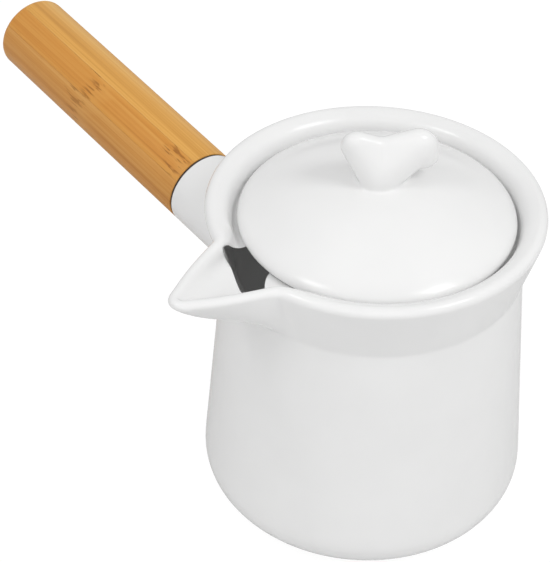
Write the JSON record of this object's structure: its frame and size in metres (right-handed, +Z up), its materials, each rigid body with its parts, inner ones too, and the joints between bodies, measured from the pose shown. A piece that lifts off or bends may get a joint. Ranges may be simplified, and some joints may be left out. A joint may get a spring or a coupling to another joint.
{
  "type": "ceramic milk warmer",
  "caption": "Small glazed pouring pot with a flared collar, a pointed spout, a loose domed lid with a two-lobed knob and a round bamboo side handle.",
  "frame": {"origin": "centre of the flat base, on the surface that the pot stands on", "axes": "+Z up along the pot's axis, +X along the handle as seen from above, +Y along the spout"},
  "size_m": [0.2337, 0.124, 0.1289],
  "materials": {
    "pot_glaze": "glossy white glaze",
    "lid_glaze": "glossy white glaze",
    "bamboo_light": "satin bamboo",
    "bamboo_mid": "satin bamboo",
    "bamboo_warm": "satin bamboo",
    "washer_rubber": "matt dark rubber",
    "bolt_steel": "bright steel",
    "insert_brass": "turned brass",
    "cement": "matt cement"
  },
  "bodies": {
    "pot": {"pot": "pot_glaze", "grip_strip_upper": "bamboo_light", "grip_strip_core": "bamboo_mid", "grip_strip_lower": "bamboo_warm", "joint_washer": "washer_rubber", "handle_bolt": "bolt_steel", "grip_insert": "insert_brass", "socket_cement": "cement"},
    "lid": {"lid": "lid_glaze", "lid_knob": "lid_glaze"}
  },
  "joints": [
    {"name": "lid_lift", "type": "slide", "parent": "pot", "child": "lid", "axis": [0, 0, 1], "range_m": [0, 0.06]}
  ]
}
